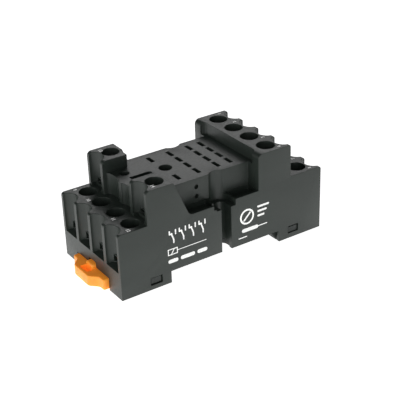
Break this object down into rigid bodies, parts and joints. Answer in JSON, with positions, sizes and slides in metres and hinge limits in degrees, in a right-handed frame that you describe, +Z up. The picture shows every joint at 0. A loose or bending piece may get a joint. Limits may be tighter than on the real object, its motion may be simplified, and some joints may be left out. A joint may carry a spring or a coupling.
{
  "type": "relay socket",
  "caption": "Rail-mounted screw-terminal socket for a plug-in relay: stepped black housing with screw wells, relay pin slots and an orange sliding rail clip.",
  "frame": {"origin": "centre of the flat rail seat under the socket, in the plane where the 35 mm rail's face rests", "axes": "+X along the length from the sliding clip towards the fixed hook, +Y across the width, +Z up and away from the rail"},
  "size_m": [0.0697, 0.0306, 0.029],
  "materials": {
    "socket_black": "fine satin",
    "base_black": "fine satin",
    "clip_orange": "smooth",
    "zinc_steel": "zinc plated",
    "contact_brass": "stamped"
  },
  "bodies": {
    "socket": {"upper_housing": "socket_black", "base_plate": "base_black", "contact_com_1": "contact_brass", "contact_com_2": "contact_brass", "contact_com_3": "contact_brass", "contact_com_4": "contact_brass", "contact_no_1": "contact_brass", "contact_no_2": "contact_brass", "contact_no_3": "contact_brass", "contact_no_4": "contact_brass", "contact_nc_1": "contact_brass", "contact_nc_2": "contact_brass", "contact_nc_3": "contact_brass", "contact_nc_4": "contact_brass", "contact_coil_1": "contact_brass", "contact_coil_2": "contact_brass"},
    "clip": {"rail_clip": "clip_orange"},
    "screw_com_1": {"terminal_screw_com_1": "zinc_steel"},
    "clamp_com_1": {"wire_clamp_com_1": "zinc_steel"},
    "screw_com_2": {"terminal_screw_com_2": "zinc_steel"},
    "clamp_com_2": {"wire_clamp_com_2": "zinc_steel"},
    "screw_com_3": {"terminal_screw_com_3": "zinc_steel"},
    "clamp_com_3": {"wire_clamp_com_3": "zinc_steel"},
    "screw_com_4": {"terminal_screw_com_4": "zinc_steel"},
    "clamp_com_4": {"wire_clamp_com_4": "zinc_steel"},
    "screw_no_1": {"terminal_screw_no_1": "zinc_steel"},
    "clamp_no_1": {"wire_clamp_no_1": "zinc_steel"},
    "screw_no_2": {"terminal_screw_no_2": "zinc_steel"},
    "clamp_no_2": {"wire_clamp_no_2": "zinc_steel"},
    "screw_no_3": {"terminal_screw_no_3": "zinc_steel"},
    "clamp_no_3": {"wire_clamp_no_3": "zinc_steel"},
    "screw_no_4": {"terminal_screw_no_4": "zinc_steel"},
    "clamp_no_4": {"wire_clamp_no_4": "zinc_steel"},
    "screw_nc_1": {"terminal_screw_nc_1": "zinc_steel"},
    "clamp_nc_1": {"wire_clamp_nc_1": "zinc_steel"},
    "screw_nc_2": {"terminal_screw_nc_2": "zinc_steel"},
    "clamp_nc_2": {"wire_clamp_nc_2": "zinc_steel"},
    "screw_nc_3": {"terminal_screw_nc_3": "zinc_steel"},
    "clamp_nc_3": {"wire_clamp_nc_3": "zinc_steel"},
    "screw_nc_4": {"terminal_screw_nc_4": "zinc_steel"},
    "clamp_nc_4": {"wire_clamp_nc_4": "zinc_steel"},
    "screw_coil_1": {"terminal_screw_coil_1": "zinc_steel"},
    "clamp_coil_1": {"wire_clamp_coil_1": "zinc_steel"},
    "screw_coil_2": {"terminal_screw_coil_2": "zinc_steel"},
    "clamp_coil_2": {"wire_clamp_coil_2": "zinc_steel"}
  },
  "joints": [
    {"name": "rail_clip_slide", "type": "slide", "parent": "socket", "child": "clip", "axis": [-1, 0, 0], "range_m": [0, 0.0025], "stiffness_N_per_m": 800, "springref_m": -0.0005},
    {"name": "screw_com_1_turn", "type": "hinge", "parent": "socket", "child": "screw_com_1", "pos_m": [-0.02713, 0.01119, 0.0111], "axis": [0, 0, -1], "range_deg": [0, 1152]},
    {"name": "clamp_com_1_rise", "type": "slide", "parent": "socket", "child": "clamp_com_1", "axis": [0, 0, 1], "range_m": [0, 0.0016]},
    {"name": "screw_com_2_turn", "type": "hinge", "parent": "socket", "child": "screw_com_2", "pos_m": [-0.02713, 0.00373, 0.0111], "axis": [0, 0, -1], "range_deg": [0, 1152]},
    {"name": "clamp_com_2_rise", "type": "slide", "parent": "socket", "child": "clamp_com_2", "axis": [0, 0, 1], "range_m": [0, 0.0016]},
    {"name": "screw_com_3_turn", "type": "hinge", "parent": "socket", "child": "screw_com_3", "pos_m": [-0.02713, -0.00373, 0.0111], "axis": [0, 0, -1], "range_deg": [0, 1152]},
    {"name": "clamp_com_3_rise", "type": "slide", "parent": "socket", "child": "clamp_com_3", "axis": [0, 0, 1], "range_m": [0, 0.0016]},
    {"name": "screw_com_4_turn", "type": "hinge", "parent": "socket", "child": "screw_com_4", "pos_m": [-0.02713, -0.01119, 0.0111], "axis": [0, 0, -1], "range_deg": [0, 1152]},
    {"name": "clamp_com_4_rise", "type": "slide", "parent": "socket", "child": "clamp_com_4", "axis": [0, 0, 1], "range_m": [0, 0.0016]},
    {"name": "screw_no_1_turn", "type": "hinge", "parent": "socket", "child": "screw_no_1", "pos_m": [0.02712, 0.01119, 0.0111], "axis": [0, 0, -1], "range_deg": [0, 1152]},
    {"name": "clamp_no_1_rise", "type": "slide", "parent": "socket", "child": "clamp_no_1", "axis": [0, 0, 1], "range_m": [0, 0.0016]},
    {"name": "screw_no_2_turn", "type": "hinge", "parent": "socket", "child": "screw_no_2", "pos_m": [0.02712, 0.00373, 0.0111], "axis": [0, 0, -1], "range_deg": [0, 1152]},
    {"name": "clamp_no_2_rise", "type": "slide", "parent": "socket", "child": "clamp_no_2", "axis": [0, 0, 1], "range_m": [0, 0.0016]},
    {"name": "screw_no_3_turn", "type": "hinge", "parent": "socket", "child": "screw_no_3", "pos_m": [0.02712, -0.00373, 0.0111], "axis": [0, 0, -1], "range_deg": [0, 1152]},
    {"name": "clamp_no_3_rise", "type": "slide", "parent": "socket", "child": "clamp_no_3", "axis": [0, 0, 1], "range_m": [0, 0.0016]},
    {"name": "screw_no_4_turn", "type": "hinge", "parent": "socket", "child": "screw_no_4", "pos_m": [0.02712, -0.01119, 0.0111], "axis": [0, 0, -1], "range_deg": [0, 1152]},
    {"name": "clamp_no_4_rise", "type": "slide", "parent": "socket", "child": "clamp_no_4", "axis": [0, 0, 1], "range_m": [0, 0.0016]},
    {"name": "screw_nc_1_turn", "type": "hinge", "parent": "socket", "child": "screw_nc_1", "pos_m": [0.01637, 0.01119, 0.0219], "axis": [0, 0, -1], "range_deg": [0, 1152]},
    {"name": "clamp_nc_1_rise", "type": "slide", "parent": "socket", "child": "clamp_nc_1", "axis": [0, 0, 1], "range_m": [0, 0.0016]},
    {"name": "screw_nc_2_turn", "type": "hinge", "parent": "socket", "child": "screw_nc_2", "pos_m": [0.01637, 0.00373, 0.0219], "axis": [0, 0, -1], "range_deg": [0, 1152]},
    {"name": "clamp_nc_2_rise", "type": "slide", "parent": "socket", "child": "clamp_nc_2", "axis": [0, 0, 1], "range_m": [0, 0.0016]},
    {"name": "screw_nc_3_turn", "type": "hinge", "parent": "socket", "child": "screw_nc_3", "pos_m": [0.01637, -0.00373, 0.0219], "axis": [0, 0, -1], "range_deg": [0, 1152]},
    {"name": "clamp_nc_3_rise", "type": "slide", "parent": "socket", "child": "clamp_nc_3", "axis": [0, 0, 1], "range_m": [0, 0.0016]},
    {"name": "screw_nc_4_turn", "type": "hinge", "parent": "socket", "child": "screw_nc_4", "pos_m": [0.01637, -0.01119, 0.0219], "axis": [0, 0, -1], "range_deg": [0, 1152]},
    {"name": "clamp_nc_4_rise", "type": "slide", "parent": "socket", "child": "clamp_nc_4", "axis": [0, 0, 1], "range_m": [0, 0.0016]},
    {"name": "screw_coil_1_turn", "type": "hinge", "parent": "socket", "child": "screw_coil_1", "pos_m": [-0.0194, 0.01119, 0.0219], "axis": [0, 0, -1], "range_deg": [0, 1152]},
    {"name": "clamp_coil_1_rise", "type": "slide", "parent": "socket", "child": "clamp_coil_1", "axis": [0, 0, 1], "range_m": [0, 0.0016]},
    {"name": "screw_coil_2_turn", "type": "hinge", "parent": "socket", "child": "screw_coil_2", "pos_m": [-0.0194, -0.01119, 0.0219], "axis": [0, 0, -1], "range_deg": [0, 1152]},
    {"name": "clamp_coil_2_rise", "type": "slide", "parent": "socket", "child": "clamp_coil_2", "axis": [0, 0, 1], "range_m": [0, 0.0016]}
  ],
  "couplings": [
    {"joint": "screw_com_1_turn", "follows": "clamp_com_1_rise", "rad_per_m": 12566},
    {"joint": "screw_com_2_turn", "follows": "clamp_com_2_rise", "rad_per_m": 12566},
    {"joint": "screw_com_3_turn", "follows": "clamp_com_3_rise", "rad_per_m": 12566},
    {"joint": "screw_com_4_turn", "follows": "clamp_com_4_rise", "rad_per_m": 12566},
    {"joint": "screw_no_1_turn", "follows": "clamp_no_1_rise", "rad_per_m": 12566},
    {"joint": "screw_no_2_turn", "follows": "clamp_no_2_rise", "rad_per_m": 12566},
    {"joint": "screw_no_3_turn", "follows": "clamp_no_3_rise", "rad_per_m": 12566},
    {"joint": "screw_no_4_turn", "follows": "clamp_no_4_rise", "rad_per_m": 12566},
    {"joint": "screw_nc_1_turn", "follows": "clamp_nc_1_rise", "rad_per_m": 12566},
    {"joint": "screw_nc_2_turn", "follows": "clamp_nc_2_rise", "rad_per_m": 12566},
    {"joint": "screw_nc_3_turn", "follows": "clamp_nc_3_rise", "rad_per_m": 12566},
    {"joint": "screw_nc_4_turn", "follows": "clamp_nc_4_rise", "rad_per_m": 12566},
    {"joint": "screw_coil_1_turn", "follows": "clamp_coil_1_rise", "rad_per_m": 12566},
    {"joint": "screw_coil_2_turn", "follows": "clamp_coil_2_rise", "rad_per_m": 12566}
  ]
}
